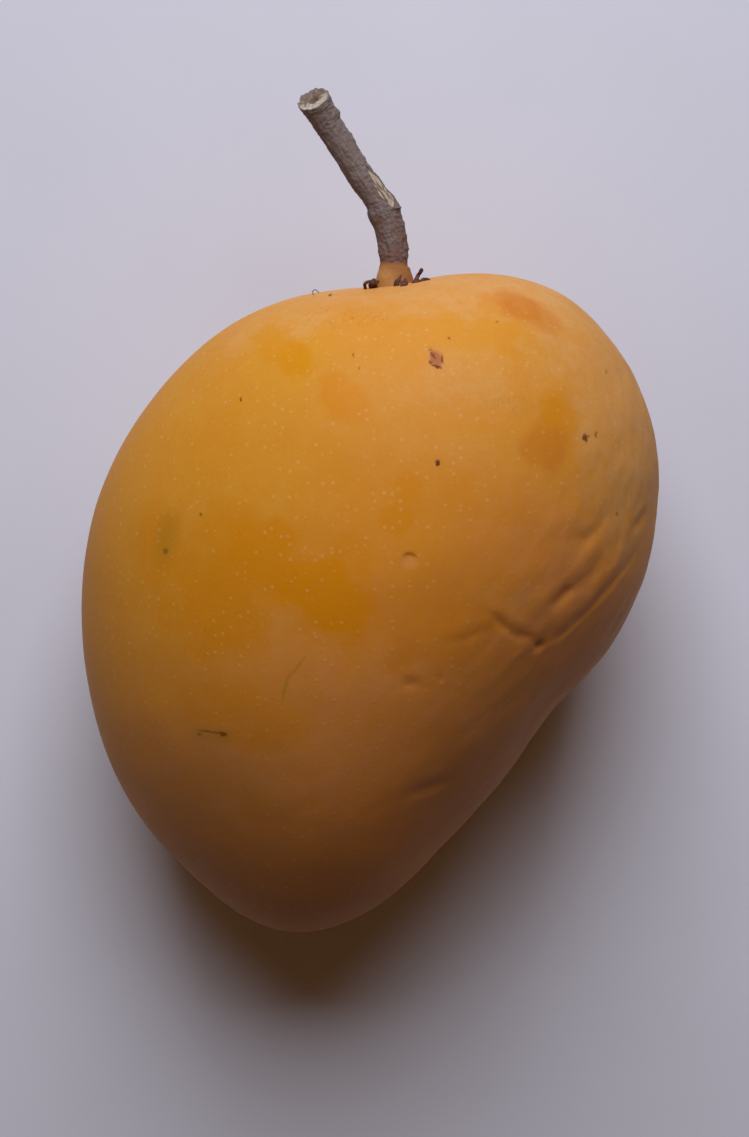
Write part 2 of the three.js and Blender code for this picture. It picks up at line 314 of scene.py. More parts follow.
# The cut end takes up the last share of the stalk.
CUT_START = 0.955
CUT_LENGTH = 0.045
CUT_SUNK = 0.18
CUT_SLANT = 1.05
CUT_BACK = 0.1
CUT_RAGGED = 0.16
PITH_DEPTH = 0.5
PITH_DROP = 0.42

# Dry remains of the flower round the foot, as (pixel x, pixel y, height) along each, with the half width
# at its root, its middle and its tip. The first point has no height, because it lies on the skin itself.
SCALES = [
    dict(path=[(363, 288), (365, 284.5, 12.6), (368, 282, 12.4), (371, 281, 11.4)],
         widths=(0.22, 0.3, 0.2)),
    dict(path=[(369, 287), (371.5, 283.5, 12.6), (374, 280, 12.2), (375, 278.5, 11.6)],
         widths=(0.45, 0.4, 0.1)),
    dict(path=[(374.5, 286), (375, 284, 12.0), (377, 282, 11.6), (379.5, 281, 10.8)],
         widths=(0.3, 0.35, 0.15)),
    dict(path=[(396, 284.8), (397, 282, 12.9), (399, 279, 12.7), (402, 274, 12.3)],
         widths=(0.42, 0.4, 0.06)),
    dict(path=[(404, 285.6), (404, 283.5, 13.8), (405, 281.5, 13.2), (406, 278.5, 12.2)],
         widths=(0.5, 0.62, 0.12)),
    dict(path=[(416, 281.8), (418, 276, 10.6), (420.5, 272, 10.9), (422.2, 268, 11.2)],
         widths=(0.45, 0.26, 0.28)),
    dict(path=[(419, 281.6), (423.5, 279.5, 12.2), (427, 278.8, 12.3), (431, 280.5, 12.2)],
         widths=(0.3, 0.26, 0.1)),
]
SCALE_ROOT = 0.5
SCALE_FLATNESS = 0.5
SCALE_RINGS = 22
SCALE_SIDES = 14

# A fine fibre stuck to the top edge, made like the scales.
FIBRE = dict(path=[(312, 297), (312.5, 292.5, 9.0), (315, 289.8, 9.2),
                   (318.5, 292, 9.0), (320, 296.5, 8.2)],
             widths=(0.08, 0.07, 0.06))


def smooth(x):
    """0 below 0, 1 above 1 and an even S between."""
    x = np.clip(x, 0, 1)
    return x * x * (3 - 2 * x)


def rim_radius(angle):
    """The rim's radius at an angle: a closed cubic B-spline on the control radii."""
    count = len(RIM_RADII)
    place = (angle / (2 * math.pi) % 1.0) * count
    first = np.floor(place).astype(int)
    f = place - first
    before, start, end, after = (RIM_RADII[(first + step) % count] for step in (-1, 0, 1, 2))
    rising = -3 * f**3 + 3 * f**2 + 3 * f + 1
    falling = 3 * f**3 - 6 * f**2 + 4
    return ((1 - f) ** 3 * before + falling * start + rising * end + f**3 * after) / 6


def skin_points(directions):
    """The smooth skin's points in directions of the unit ball."""
    angle = np.arctan2(directions[:, 1], directions[:, 0])
    spread = np.minimum(1, np.hypot(directions[:, 0], directions[:, 1]))
    power = 2 / (FULLNESS + FULLNESS_SWING * np.cos(angle - FULLNESS_TURN))
    rise = np.abs(directions[:, 2]) ** power
    turned = angle - CHEEK_TURN
    oval = np.hypot(CHEEK_HALF_WIDTH * np.cos(turned), CHEEK_HALF_LENGTH * np.sin(turned))
    cheek = CHEEK_HALF_LENGTH * CHEEK_HALF_WIDTH / oval
    radius = (cheek + (rim_radius(angle) - cheek) * spread**2) * spread**power
    upper = directions[:, 2] > 0
    shift = np.where(upper[:, None], UPPER_SHIFT, LOWER_SHIFT) * rise[:, None] ** 2
    across = radius * np.cos(angle) + shift[:, 0]
    along = radius * np.sin(angle) + shift[:, 1]
    rim = -RIM_DROOP * (0.5 + 0.5 * np.cos(angle - RIM_DROOP_SIDE)) ** 1.5
    height = rim * (1 - rise) + np.where(upper, UPPER_HEIGHT, LOWER_HEIGHT) * rise
    return np.stack([across, along, height], 1)


def ball_grid(steps):
    """Directions and four-sided faces of a cube blown up to a ball, with shared corners."""
    line = np.tan(np.linspace(-math.pi / 4, math.pi / 4, steps + 1))
    a, b = np.meshgrid(line, line, indexing="ij")
    one = np.ones_like(a)
    sides = ((one, a, b), (-one, b, a), (b, one, a), (a, -one, b), (a, b, one), (b, a, -one))
    points = np.concatenate([np.stack(side, -1).reshape(-1, 3) for side in sides])
    points /= np.linalg.norm(points, axis=1, keepdims=True)
    _, first, shared = np.unique(points.round(6), axis=0, return_index=True, return_inverse=True)
    corner = np.arange((steps + 1) ** 2).reshape(steps + 1, steps + 1)
    square = np.stack([corner[:-1, :-1], corner[1:, :-1], corner[1:, 1:], corner[:-1, 1:]], -1).reshape(-1, 4)
    faces = np.concatenate([square + side * (steps + 1) ** 2 for side in range(6)])
    return points[first], shared.reshape(-1)[faces]


def crowded(directions):
    """The same directions drawn towards the side that needs more points."""
    pulled = directions + SKIN_CROWDING * np.array(SKIN_CROWDED_SIDE)
    return pulled / np.linalg.norm(pulled, axis=1, keepdims=True)


def make_mesh(name, points, faces):
    """A smooth-shaded mesh object from points in metres."""
    mesh = bpy.data.meshes.new(name)
    mesh.from_pydata(points.tolist(), [], faces.tolist() if isinstance(faces, np.ndarray) else faces)
    mesh.validate()
    mesh.shade_smooth()
    piece = bpy.data.objects.new(name, mesh)
    bpy.context.scene.collection.objects.link(piece)
    return piece


def point_normals(points, faces):
    """Unit normals at the corners of four-sided faces."""
    a, b, c, d = (points[faces[:, k]] for k in range(4))
    face = np.cross(c - a, d - b)
    total = np.zeros_like(points)
    for k in range(4):
        np.add.at(total, faces[:, k], face)
    return total / np.linalg.norm(total, axis=1, keepdims=True)


def add_attribute(piece, name, values):
    """A number at each point of a mesh, for its material to read."""
    layer = piece.data.attributes.new(name, "FLOAT", "POINT")
    layer.data.foreach_set("value", np.asarray(values, np.float32))


def lumps(points, size, stretch=(1, 1, 1)):
    """Even random lumps of about a size, from -1 to 1, at each point."""
    scaled = points / (size * np.array(stretch))
    return np.array([noise.noise(Vector(p) + SEED_SHIFT) for p in scaled])


# What the photograph shows


coarse_directions, coarse_faces = ball_grid(48)
coarse_skin = skin_points(coarse_directions)
skin_tree = BVHTree.FromPolygons(coarse_skin.tolist(), coarse_faces.tolist())


def sight(pixel):
    """The camera's place, and the way to a pixel until it reaches the rim plane."""
    across = (pixel[0] - PICTURE_MIDDLE[0]) / PIXELS_PER_MM
    along = (PICTURE_MIDDLE[1] - pixel[1]) / PIXELS_PER_MM
    return Vector((*UNDER_CAMERA, CAMERA_HEIGHT)), Vector((across, along, -CAMERA_HEIGHT))


def seen_at(pixel):
    """The point of the skin that the photograph shows at a pixel."""
    camera, way = sight(pixel)
    return np.array(skin_tree.ray_cast(camera, way.normalized())[0])


def at_height(pixel, height):
    """The point at a height over the rim plane that the photograph shows at a pixel."""
    camera, way = sight(pixel)
    return np.array(camera + way * (1 - height / CAMERA_HEIGHT))


def smooth_line(points, samples):
    """Evenly many points on a smooth curve through a few."""
    points = np.asarray(points, float)
    padded = np.vstack([2 * points[0] - points[1], points, 2 * points[-1] - points[-2]])
    place = np.linspace(0, len(points) - 1, samples)
    first = np.minimum(place.astype(int), len(points) - 2)
    f = (place - first)[:, None]
    a, b, c, d = (padded[first + k] for k in range(4))
    return 0.5 * (2 * b + (c - a) * f + (2 * a - 5 * b + 4 * c - d) * f**2 + (3 * b - a - 3 * c + d) * f**3)


def across_line(line, points, normals):
    """For each point: its distance to a line of points, its place along it from 0 to 1, and its side.

    The side is 1 on the lower side in the photograph and -1 on the upper.
    """
    best = np.full(len(points), np.inf)
    along = np.zeros(len(points))
    side = np.ones(len(points))
    for i in range(len(line) - 1):
        step = line[i + 1] - line[i]
        offset = points - line[i]
        share = np.clip(offset @ step / (step @ step), 0, 1)
        away = offset - share[:, None] * step
        distance = np.linalg.norm(away, axis=1)
        nearer = distance < best
        best[nearer] = distance[nearer]
        along[nearer] = (i + share[nearer]) / (len(line) - 1)
        turned = np.einsum("ij,ij->i", np.cross(step, away), normals)
        side[nearer] = np.where(turned[nearer] < 0, 1, -1)
    return best, along, side


def fold_relief(fold, points, normals):
    """How much one fold raises the skin: it sinks slowly on the upper side and rises quickly on the lower."""
    line = smooth_line([seen_at(pixel) for pixel in fold["path"]], FOLD_SAMPLES)
    near = np.linalg.norm(points - line.mean(0), axis=1) < FOLD_REACH + np.ptp(line, axis=0).max()
    distance, along, side = across_line(line, points[near], normals[near])
    wander = distance * side + 0.22 * lumps(points[near], 1.6)
    distance, side = np.abs(wander), np.sign(wander)
    upper = np.exp(-((distance / fold["fall"]) ** 2)) - 0.22 * np.exp(-((distance / fold["fall"] - 2.3) ** 2))
    quick = np.exp(-((distance / fold["rise"]) ** 2))
    slow = np.exp(-((distance / FOLD_SETTLE) ** 2))
    lower = fold["back"] * quick + (1 - fold["back"]) * slow
    fade = np.sin(math.pi * (0.04 + 0.92 * along)) ** 0.7 * (1 + 0.45 * lumps(points[near], 2.6))
    relief = np.zeros(len(points))
    relief[near] = -fold["depth"] * fade * np.where(side > 0, lower, upper)
    relief[near] += fold["ridge"] * np.sin(math.pi * along) * np.exp(-((distance / RIDGE_REACH) ** 2))
    return relief


def dent_relief(dent, points):
    """How much one dent sinks the skin: a soft cup, or a tilted one with a sharp upper edge."""
    centre = seen_at(dent["at"])
    away = np.linalg.norm(points - centre, axis=1) / dent["radius"]
    if not dent["tilted"]:
        return -dent["depth"] * np.exp(-(away**2))
    upper = np.clip(0.5 + 0.5 * (points[:, 1] - centre[1]) / dent["radius"], 0, 1)
    return -dent["depth"] * upper * smooth((1 - away) / 0.4)


def plan_patch(patch, points):
    """How far each point is from the middle of an oval patch seen from above.

    It is 1 at the patch's edge, and more on the underside.
    """
    centre = seen_at(patch["at"])
    turn = math.radians(patch["turn"])
    across, along = points[:, 0] - centre[0], points[:, 1] - centre[1]
    u = (across * math.cos(turn) + along * math.sin(turn)) / patch["size"][0]
    v = (along * math.cos(turn) - across * math.sin(turn)) / patch["size"][1]
    return np.hypot(u, v) + UNDERSIDE_LOSS * smooth((UNDERSIDE_START - points[:, 2]) / UNDERSIDE_DEPTH)


def patches(listed, points, edge, blur=PATCH_BLUR):
    """The strongest of several patches at each point. Blur is the width of their soft edge, in half sizes."""
    total = np.zeros(len(points))
    for patch in listed:
        away = plan_patch(patch, points) + edge
        total = np.maximum(total, patch["strength"] * smooth((PATCH_EDGE + blur / 2 - away) / blur))
    return total


# The fruit


def fruit_relief(points, normals):
    """All that raises or sinks the smooth skin, and how deep in a fold each point is."""
    folds = sum(fold_relief(fold, points, normals) for fold in FOLDS)
    relief = folds + sum(dent_relief(dent, points) for dent in DENTS)
    seat = np.linalg.norm(points - STALK_STATIONS[STALK_FOOT, :3], axis=1)
    relief -= SEAT_DEPTH * np.exp(-((seat / SEAT_RADIUS) ** 2))
    across, along, height = points.T
    belly = smooth((across - BELLY_LEAN * along - BELLY_START) / BELLY_WIDTH)
    grained = np.column_stack([0.8 * across - 0.6 * along, 0.6 * across + 0.8 * along, height])
    for size, everywhere, on_belly, stretch in SKIN_LUMPS:
        lumpy = lumps(grained, size, stretch=(1, stretch, 1)) if stretch else lumps(points, size)
        relief += (everywhere + on_belly * belly) * lumpy
    return relief, folds


def make_fruit(to_row):
    directions, faces = ball_grid(SKIN_STEPS)
    smooth_skin = skin_points(crowded(directions))
    normals = point_normals(smooth_skin, faces)
    relief, folds = fruit_relief(smooth_skin, normals)
    points = smooth_skin + relief[:, None] * normals
    points[:, 2] = np.maximum(points[:, 2], LOWER_HEIGHT + REST_FLAT)
    piece = make_mesh("fruit_skin", to_row(points), faces)
    edge = 0.34 * lumps(smooth_skin, 3.5) + 0.2 * lumps(smooth_skin, 1.4)
    listed = dict(rubbed=RUBBED, orange=ORANGE, yellow=YELLOW, bloom_and_sheen=BLOOM_AND_SHEEN, crazed=CRAZED)
    for name, places in listed.items():
        add_attribute(piece, name, patches(places, smooth_skin, edge))
    # The warm patches, and the painted shade at the tip and under the belly.
    for name, places in dict(warm=WARM, painted_shade=PAINTED_SHADE).items():
        add_attribute(piece, name, patches(places, smooth_skin, BROAD_RAGGED * edge, blur=BROAD_BLUR))
    # How far the folds sink each point, for the painted shade in them.
    add_attribute(piece, "fold", np.clip(-2 * folds, 0, 1))
    return piece


# The stalk


def stalk_frames(rings):
    """Centres, radii, tangents and the two cross directions of rings along the stalk."""
    line = smooth_line(STALK_STATIONS, rings)
    centre, radius = line[:, :3], line[:, 3]
    tangent = np.gradient(centre, axis=0)
    tangent /= np.linalg.norm(tangent, axis=1, keepdims=True)
    right = np.cross(tangent, (0, 0, 1))
    right /= np.linalg.norm(right, axis=1, keepdims=True)
    return centre, radius, tangent, right, np.cross(right, tangent)


def turn_from(angle, middle):
    """An angle's turn from a middle one, from -pi to pi."""
    return np.arctan2(np.sin(angle - middle), np.cos(angle - middle))


def torn_strip(along, angle):
    """How much of the bark is torn off, from 0 to 1, and the angle from the strip's middle."""
    share = (along - TEAR_FROM) / (TEAR_TO - TEAR_FROM)
    turn = turn_from(angle, TEAR_ANGLES[0] + (TEAR_ANGLES[1] - TEAR_ANGLES[0]) * share)
    width = TEAR_HALF_WIDTH * np.sqrt(smooth(share / 0.45)) * smooth((1 - share) / 0.75) ** 0.8
    return smooth((width - np.abs(turn)) / math.radians(8) + 0.2) * (share > 0) * (share < 1), turn


def knobbed(size, along, angle):
    """The stalk's radius with its knobs added."""
    for place, middle, height, reach, spread in KNOBS:
        turn = turn_from(angle, math.radians(middle)) / math.radians(spread)
        size = size + height * np.exp(-(((along - place) / reach) ** 2) - turn**2)
    return size


def bark_lumps(angle, length):
    """The bark's ridges, crust and blocks, from -1 to 1 at each point."""
    straight = (BARK_RADIUS * np.cos(angle), BARK_RADIUS * np.sin(angle), length)
    places = np.stack(np.broadcast_arrays(*straight), -1)
    return [
        lumps(places.reshape(-1, 3), size, stretch=(1, 1, stretch)).reshape(places.shape[:2])
        for size, stretch in BARK_LUMPS
    ]


def bare_strip(size, radius, along, angle, ridges, crust):
    """The radius with the torn strip made flat, how much is torn off, and how deep in its split it is."""
    torn, turn = torn_strip(along, angle)
    from_split = turn - SPLIT_ANGLE + SPLIT_TURN * (along - SPLIT_MIDDLE) / SPLIT_TURN_OVER + 0.12 * crust
    split = torn * np.exp(-((from_split / SPLIT_HALF_WIDTH) ** 2))
    flat = (radius[:, None] - TEAR_DEPTH) / np.maximum(np.cos(turn), 0.6)
    flat = flat + 0.07 * ridges - SPLIT_DEPTH * split
    return size * (1 - torn) + np.minimum(size, flat) * torn, torn, split


def cut_slant(along, angle, crust):
    """How far the slant and the ragged rim of the cut end move each point along the stalk."""
    end = smooth((along - CUT_START) / CUT_LENGTH)
    lower = 1 - 0.7 * smooth(0.5 + 0.5 * np.sin(angle))
    teeth = CUT_RAGGED * lower * (2.4 * crust[-1] + np.sin(6 * angle) + 0.6 * np.sin(11 * angle + 1))
    return end * (teeth - CUT_SLANT * np.sin(angle) - CUT_BACK)


def make_stalk(to_row):
    centre, radius, tangent, right, up = stalk_frames(STALK_RINGS)
    along = np.linspace(0, 1, STALK_RINGS)[:, None]
    angle = np.linspace(0, 2 * math.pi, STALK_SIDES, endpoint=False)[None, :]
    steps = np.linalg.norm(np.diff(centre, axis=0), axis=1)
    length = np.concatenate([[0], np.cumsum(steps)])[:, None]
    size = knobbed(radius[:, None] + np.zeros_like(angle), along, angle)
    ridges, crust, blocks = bark_lumps(angle, length)
    barky = smooth((length - BARK_START) / BARK_FADE)
    rugged = barky * (0.45 + 0.55 * (0.5 + 0.5 * np.cos(angle))) * (1 - 0.15 * smooth((along - 0.55) / 0.2))
    size = size + rugged * (0.13 * crust + 0.16 * blocks) + 0.10 * barky * ridges + 0.02 * crust
    size, torn, split = bare_strip(size, radius, along, angle, ridges, crust)
    outward = np.cos(angle)[..., None] * right[:, None] + np.sin(angle)[..., None] * up[:, None]
    points = centre[:, None] + size[..., None] * outward
    points += cut_slant(along, angle, crust)[..., None] * tangent[:, None]
    return close_stalk(points, torn, split, barky + np.zeros_like(size), tangent, up, to_row)


def cut_face(rim, tangent, up):
    """Rows of points of the cut face inside its rim, and how far in and how pale each ring is."""
    reach = np.linalg.norm(rim - rim.mean(0), axis=1).mean()
    pith = rim.mean(0) - PITH_DROP * reach * up
    angle = np.linspace(0, 2 * math.pi, STALK_SIDES, endpoint=False)
    near_side = smooth(0.45 + 0.7 * np.sin(angle))
    rows, cut, pale = [], [], []
    for ring in range(1, CUT_RINGS):
        share = ring / CUT_RINGS
        inner = pith + (rim - pith) * (1 - share)
        rough = 0.16 * lumps(inner, 0.35) * min(1, 3 * share)
        sunk = PITH_DEPTH * smooth((share - 0.55) / 0.3) + CUT_SUNK * min(1, 5 * share)
        rows.append(inner + (rough - sunk)[:, None] * tangent)
        cut.append(np.full(STALK_SIDES, share))
        pale.append(near_side * (1 - share))
    rows.append((pith - (PITH_DEPTH + CUT_SUNK) * tangent)[None])
    return rows, cut, pale


def close_stalk(points, torn, split, barky, tangent, up, to_row):
    """The stalk's mesh with its cut face, whose pith is sunk and low on the face, and its hidden root end."""
    rows, cut, pale = cut_face(points[-1], tangent[-1], up[-1])
    total = np.vstack([points.reshape(-1, 3), *rows, points[0].mean(0)[None]])
    faces = tube_faces(STALK_RINGS + CUT_RINGS - 1, STALK_SIDES)
    piece = make_mesh("stalk_bark", to_row(total), faces)
    ends = len(total) - torn.size
    for name, values, end in (("torn", torn, 0.0), ("split", split, 0.0), ("barky", barky, 1.0)):
        add_attribute(piece, name, np.concatenate([values.ravel(), np.full(ends, end)]))
    add_attribute(piece, "cut", np.concatenate([np.zeros(torn.size), *cut, [1.0, 0.0]]))
    add_attribute(piece, "pale", np.concatenate([np.zeros(torn.size), *pale, [0.0, 0.0]]))
    return piece


def scale_parts(scale, shift):
    """Points and faces of one dry scale: a flattened, uneven tube that starts inside the skin."""
    root = seen_at(scale["path"][0])
    inward = (STALK_STATIONS[0, :3] - root) / np.linalg.norm(STALK_STATIONS[0, :3] - root)
    places = [root + SCALE_ROOT * inward, *[at_height((x, y), z) for x, y, z in scale["path"][1:]]]
    centre = smooth_line(places, SCALE_RINGS)
    along = np.linspace(0, 1, SCALE_RINGS)
    width = np.interp(along, (0, 0.5, 1), scale["widths"]) * np.sqrt(np.clip((1 - along) / 0.12, 0.02, 1))
    tangent = np.gradient(centre, axis=0)
    tangent /= np.linalg.norm(tangent, axis=1, keepdims=True)
    across = np.cross(tangent, (0, 0, 1))
    across /= np.linalg.norm(across, axis=1, keepdims=True)
    over = np.cross(across, tangent)
    angle = np.linspace(0, 2 * math.pi, SCALE_SIDES, endpoint=False)
    wide = np.cos(angle)[:, None] * across[:, None]
    thick = SCALE_FLATNESS * np.sin(angle)[:, None] * over[:, None]
    points = centre[:, None] + width[:, None, None] * (wide + thick)
    points = points.reshape(-1, 3)
    out = points - np.repeat(centre, SCALE_SIDES, axis=0)
    points += out * 0.35 * lumps(points + shift, 0.5)[:, None]
    return np.vstack([points, centre[-1:], centre[:1]]), tube_faces(SCALE_RINGS, SCALE_SIDES)


def make_scales(name, scales, to_row):
    points, faces, count = [], [], 0
    for shift, scale in enumerate(scales):
        own_points, own_faces = scale_parts(scale, 3.0 * shift)
        points.append(own_points)
        faces += [tuple(count + corner for corner in face) for face in own_faces]
        count += len(own_points)
    return make_mesh(name, to_row(np.vstack(points)), faces)


def tube_faces(rings, sides):
    """Faces of a tube whose last two points close its far end and its near end."""
    faces = []
    for ring in range(rings - 1):
        near, far = ring * sides, (ring + 1) * sides
        for side in range(sides):
            after = (side + 1) % sides
            faces.append((near + side, far + side, far + after, near + after))
    last, far_middle, near_middle = (rings - 1) * sides, rings * sides, rings * sides + 1
    for side in range(sides):
        after = (side + 1) % sides
        faces.append((last + side, far_middle, last + after))
        faces.append((near_middle, side, after))
    return faces


# Materials


class Nodes:
    """A material's node tree, with short ways to add what the materials here use."""

    def __init__(self, name):
        self.material = bpy.data.materials.new(name)
        self.material.use_nodes = True
        self.tree = self.material.node_tree
        self.shader = self.tree.nodes["Principled BSDF"]

    def add(self, kind, inputs=(), **settings):
        node = self.tree.nodes.new(kind)
        for name, value in settings.items():
            setattr(node, name, value)
        for key, value in dict(inputs).items():
            self.put(node.inputs[key], value)
        return node

    def put(self, socket, value):
        if isinstance(value, bpy.types.NodeSocket):
            self.tree.links.new(value, socket)
        else:
            socket.default_value = value

    def attribute(self, name):
        return self.add("ShaderNodeAttribute", attribute_name=name).outputs["Fac"]

    def millimetres(self):
        place = self.add("ShaderNodeTexCoord").outputs["Object"]
        return self.vectors("SCALE", {0: place, 3: 1 / MM})

    def vectors(self, operation, inputs):
        return self.add("ShaderNodeVectorMath", inputs, operation=operation).outputs[0]

    def length(self, vector):
        return self.add("ShaderNodeVectorMath", {0: vector}, operation="LENGTH").outputs["Value"]

    def maths(self, operation, *values, clamp=False):
        node = self.add("ShaderNodeMath", dict(enumerate(values)), operation=operation, use_clamp=clamp)
        return node.outputs[0]

    def fade(self, value, start, end, low=0.0, high=1.0):
        inputs = {"Value": value, "From Min": start, "From Max": end, "To Min": low, "To Max": high}
        return self.add("ShaderNodeMapRange", inputs, interpolation_type="SMOOTHSTEP").outputs["Result"]

    def noise(self, place, size, detail=3.0, roughness=0.55, stretch=None):
        if stretch:
            place = self.add("ShaderNodeMapping", {"Vector": place, "Scale": stretch}).outputs[0]
        inputs = {"Vector": place, "Scale": 1 / size, "Detail": detail, "Roughness": roughness}
        return self.add("ShaderNodeTexNoise", inputs).outputs["Fac"]

    def mix(self, share, under, over, blend="MIX"):
        node = self.add("ShaderNodeMix", data_type="RGBA", blend_type=blend)
        for key, value in ((0, share), (6, under), (7, over)):
            self.put(node.inputs[key], value)
        return node.outputs[2]

    def bump(self, height, distance, strength=1.0, under=None):
        node = self.add("ShaderNodeBump", {"Height": height, "Distance": distance * MM, "Strength": strength})
        if under:
            self.put(node.inputs["Normal"], under)
        return node.outputs[0]

    def shade(self, inputs):
        """The material, once its shader has these inputs."""
        for name, value in inputs.items():
            self.put(self.shader.inputs[name], value)
        return self.material


def colour(red, green, blue):
    return (red, green, blue, 1.0)


AMBER = colour(0.65, 0.238, 0.002)
GOLD = colour(0.65, 0.264, 0.003)
BLOOM = colour(0.66, 0.292, 0.042)
# Pale bloom, and the painted sheen along the top edge.
PALE_BLOOM_AND_SHEEN = colour(0.65, 0.355, 0.130)
BLOOM_WARM = colour(0.65, 0.258, 0.088)
OCHRE = colour(0.65, 0.305, 0.025)
DEEP_ORANGE = colour(0.57, 0.178, 0.012)
# The colour of the painted shade at the tip and under the belly.
PAINTED_SHADE_ORANGE = colour(0.40, 0.182, 0.050)
PALE_DOT = colour(0.72, 0.37, 0.11)
CORK = colour(0.40, 0.13, 0.045)
CORK_CRACK = colour(0.15, 0.032, 0.008)
PALE_HALO = colour(0.62, 0.26, 0.07)
DARK_SPECK = colour(0.12, 0.022, 0.008)
GREEN_SMUDGE = colour(0.26, 0.17, 0.012)
# The colour of the painted shade in the folds.
FOLD_SHADE = colour(0.42, 0.14, 0.02)


def spot(at, size, turn, tone, share, edge):
    """A mark on the skin: its place, half sizes in millimetres, turn in degrees, colour, share and edge."""
    return dict(at=at, size=size, turn=turn, colour=tone, share=share, edge=edge)


# Small marks on the skin.
MARKS = [
    spot((436, 359), (1.35, 1.75), 15, PALE_HALO, 0.6, 0.4),
    spot((436, 359), (0.85, 1.3), 15, CORK, 0.9, 0.3),
    spot((433.6, 355.5), (0.16, 0.52), 18, CORK_CRACK, 0.85, 0.5),
    spot((442.2, 359), (0.17, 0.72), 2, CORK_CRACK, 0.9, 0.5),
    spot((436.5, 366.8), (0.8, 0.19), -14, CORK_CRACK, 0.95, 0.5),
    spot((430.8, 362.5), (0.2, 0.36), 25, CORK_CRACK, 0.7, 0.5),
    spot((430.8, 349.8), (0.3, 0.16), 0, CORK_CRACK, 0.5, 0.6),
    spot((437.5, 463), (0.33, 0.52), 10, DARK_SPECK, 0.95, 0.4),
    spot((585, 438), (0.36, 0.62), 20, DARK_SPECK, 0.85, 0.4),
    spot((588, 436.5), (0.3, 0.2), 30, DARK_SPECK, 0.6, 0.5),
    spot((596, 434.5), (0.2, 0.42), -10, CORK_CRACK, 0.6, 0.5),
    spot((606, 372), (0.2, 0.42), -20, CORK_CRACK, 0.35, 0.5),
    spot((241, 399.5), (0.2, 0.36), 10, DARK_SPECK, 0.75, 0.4),
    spot((201, 514.5), (0.28, 0.26), 0, DARK_SPECK, 0.6, 0.5),
    spot((353.5, 354.5), (0.14, 0.4), 0, CORK_CRACK, 0.55, 0.5),
    spot((359, 368), (0.14, 0.22), 0, CORK_CRACK, 0.5, 0.5),
    spot((330, 295), (0.28, 0.3), 0, DARK_SPECK, 0.85, 0.3),
    spot((165, 551), (0.45, 0.42), 0, CORK_CRACK, 0.6, 0.6),
    spot((167, 537), (1.5, 3.2), -15, GREEN_SMUDGE, 0.3, 0.9),
    spot((211, 732), (1.9, 0.2), -6, DARK_SPECK, 0.6, 0.7),
    spot((223.5, 734.5), (0.55, 0.32), 0, DARK_SPECK, 0.75, 0.5),
    spot((200, 734), (0.4, 0.25), 0, DARK_SPECK, 0.4, 0.6),
    spot((212, 736), (3.2, 1.2), -8, GREEN_SMUDGE, 0.25, 0.9),
    spot((296, 669), (0.2, 2.2), -38, GREEN_SMUDGE, 0.35, 0.8),
    spot((285, 688), (0.2, 2.0), -14, GREEN_SMUDGE, 0.35, 0.8),
    spot((409, 563), (1.2, 1.1), 0, PALE_HALO, 0.5, 0.5),
    # Painted shade: two dark arcs along the upper edge of the dimple at (410, 561), where its wall turns from
    # the light.
    spot((407.3, 553.8), (0.55, 0.17), 18, CORK_CRACK, 0.42, 0.8),
    spot((413.8, 555.3), (0.6, 0.17), -27, CORK_CRACK, 0.42, 0.8),
    spot((617, 514), (0.24, 0.24), 0, CORK_CRACK, 0.5, 0.5),
    spot((449, 338), (0.2, 0.2), 0, CORK_CRACK, 0.6, 0.5),
    spot((497, 322), (0.2, 0.2), 0, CORK_CRACK, 0.5, 0.5),
    # Partly painted shade: the pit is darkened for the shade inside it, over its brown tissue.
    spot((540, 643.5), (0.8, 0.55), 20, CORK_CRACK, 0.3, 0.7),
]


def mark_mask(nodes, place, mark, to_row, depth=12.0):
    """A mark's share inside its oval and 0 outside. Its place is a pixel of the photograph or a point."""
    centre = mark["at"] if len(mark["at"]) == 3 else seen_at(mark["at"])
    centre = to_row(np.asarray(centre)[None])[0] / MM
    inputs = {
        "Vector": place,
        "Location": centre.tolist(),
        "Rotation": (0, 0, math.radians(mark["turn"])),
        "Scale": (*mark["size"], depth),
    }
    local = nodes.add("ShaderNodeMapping", inputs, vector_type="TEXTURE").outputs[0]
    return nodes.fade(nodes.length(local), 1 + mark["edge"], 1 - mark["edge"], high=mark["share"])


def scattered(nodes, place, gap, radius, faintest):
    """Soft dots about a gap apart, some of them fainter."""
    cells = nodes.add("ShaderNodeTexVoronoi", {"Vector": place, "Scale": 1 / gap, "Randomness": 0.9})
    away = nodes.maths("MULTIPLY", cells.outputs["Distance"], gap)
    chance = nodes.add("ShaderNodeSeparateColor", {"Color": cells.outputs["Color"]}).outputs["Red"]
    return nodes.maths("MULTIPLY", nodes.fade(away, radius, 0.4 * radius), nodes.fade(chance, faintest, 1.0))


def hair_lines(nodes, place, size, thickness):
    """Thin winding lines where a noise passes its middle value."""
    wander = nodes.noise(place, size, detail=3.0, roughness=0.6)
    away = nodes.maths("ABSOLUTE", nodes.maths("SUBTRACT", wander, 0.5))
    return nodes.fade(away, thickness, 0.3 * thickness)


def unevenly(nodes, place, size, reach):
    """The same places, each shifted a little by a noise."""
    inputs = {"Vector": place, "Scale": 1 / size, "Detail": 2.0}
    warp = nodes.add("ShaderNodeTexNoise", inputs).outputs["Color"]
    centred = nodes.vectors("SUBTRACT", {0: warp, 1: (0.5, 0.5, 0.5)})
    shift = nodes.vectors("SCALE", {0: centred, 3: reach})
    return nodes.vectors("ADD", {0: place, 1: shift})


def mottled(nodes, name, cloudy, least, most):
    """One kind of patch of the skin, made uneven by clouds."""
    return nodes.maths("MULTIPLY", nodes.attribute(name), nodes.fade(cloudy, 0.2, 0.7, least, most))


def skin_bloom(nodes, broad, cloudy):
    """How thick the bloom is: uneven, and gone where it is rubbed off."""
    bloom = nodes.fade(broad, 0.25, 0.7, 0.7, 1.0)
    bloom = nodes.maths("MULTIPLY", bloom, nodes.fade(cloudy, 0.25, 0.7, 0.75, 1.0))
    return nodes.maths("MULTIPLY", bloom, nodes.maths("SUBTRACT", 1.0, nodes.attribute("rubbed")))


